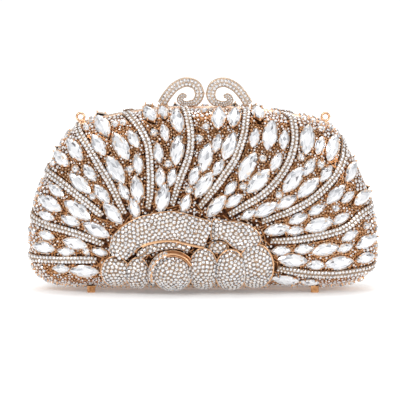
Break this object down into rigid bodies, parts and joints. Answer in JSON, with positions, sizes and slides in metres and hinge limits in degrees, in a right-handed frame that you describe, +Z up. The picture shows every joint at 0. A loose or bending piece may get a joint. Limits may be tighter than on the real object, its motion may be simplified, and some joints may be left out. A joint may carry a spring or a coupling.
{
  "type": "crystal minaudiere clutch bag",
  "caption": "Hard-case evening clutch: two crystal-set metal halves hinged at the bottom, closed by a pair of scrolls on top, with a rose of paved petals on the front.",
  "frame": {"origin": "on the ground under the middle of the whole closed bag", "axes": "+X along the bag's width, to the right as seen from the front, +Y towards the back, +Z up"},
  "size_m": [0.2002, 0.0642, 0.1214],
  "materials": {
    "rose_gold": "plated and polished",
    "fittings": "plated",
    "pave": "set all over with small crystals",
    "crystal": "cut and foiled",
    "lining": "soft leather"
  },
  "bodies": {
    "back_half": {"back_frame": "rose_gold", "back_shell": "rose_gold", "back_lining": "lining", "back_ribs": "pave", "back_marquise_large": "crystal", "back_marquise_medium": "crystal", "back_marquise_small": "crystal", "back_round_crystals": "crystal", "back_medallion": "pave", "back_feet": "rose_gold", "back_hinge_knuckles": "rose_gold", "hinge_pin": "fittings", "scroll_left": "pave", "scroll_left_screws": "fittings", "snap_nose_left": "fittings", "strap_lug_left": "rose_gold", "strap_lug_right": "rose_gold"},
    "front_half": {"front_frame": "rose_gold", "front_shell": "rose_gold", "front_lining": "lining", "front_ribs": "pave", "front_marquise_large": "crystal", "front_marquise_medium": "crystal", "front_marquise_small": "crystal", "front_round_crystals": "crystal", "front_feet": "rose_gold", "front_hinge_knuckles": "rose_gold", "scroll_right": "pave", "scroll_right_screws": "fittings", "snap_nose_right": "fittings", "petal_arch": "pave", "petal_inner_arch": "pave", "petal_left_outer": "pave", "petal_left_inner": "pave", "rose_heart": "pave", "rose_collar": "pave", "petal_middle": "pave", "petal_right_inner": "pave", "petal_right_link": "pave", "petal_right_upper": "pave", "petal_right_outer": "pave"}
  },
  "joints": [
    {"name": "opening", "type": "hinge", "parent": "back_half", "child": "front_half", "pos_m": [0, 0.0018, 0.0028], "axis": [1, 0, 0], "range_deg": [0, 80]}
  ]
}
